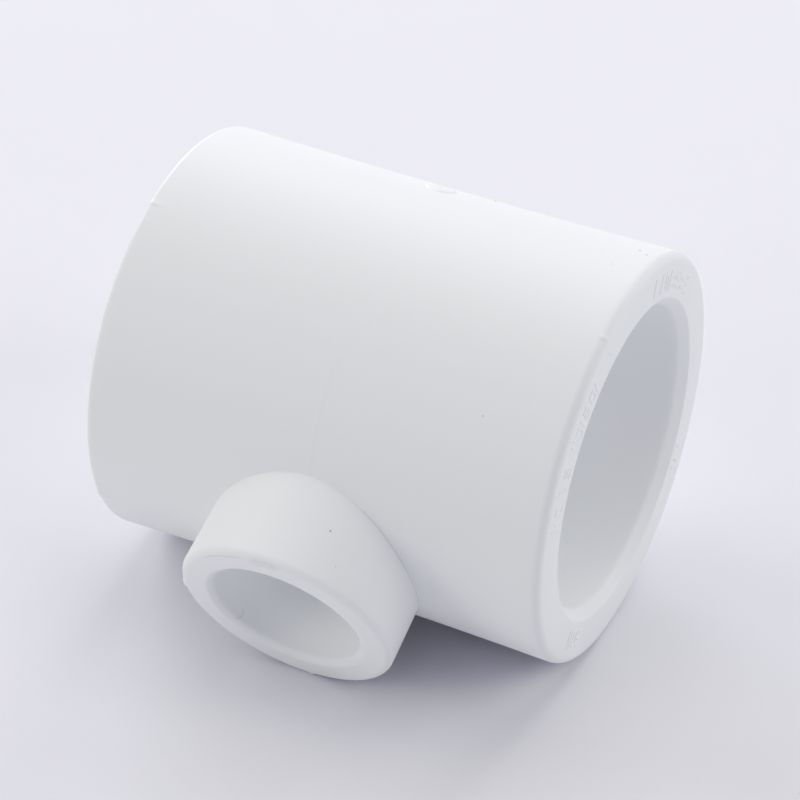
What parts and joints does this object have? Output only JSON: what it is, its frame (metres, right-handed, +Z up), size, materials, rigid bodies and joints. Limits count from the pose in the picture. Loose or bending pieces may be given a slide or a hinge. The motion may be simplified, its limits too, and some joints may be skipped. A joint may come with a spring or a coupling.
{
  "type": "reducing pipe tee",
  "caption": "White plastic reducing tee: a thick-walled straight run with equal plain pipe sockets and a smaller plain socket on its side branch, lying on barrel and branch rim.",
  "frame": {"origin": "centre of the footprint on the surface that the tee lies on, z = 0", "axes": "+X along the run's axis; +Z up; the branch points towards -Y, sloping 23.4 degrees down until its rim touches the surface"},
  "size_m": [0.0992, 0.1034, 0.086],
  "materials": {
    "white_plastic": "satin moulded white"
  },
  "bodies": {
    "root": {"tee_body": "white_plastic"}
  },
  "joints": []
}
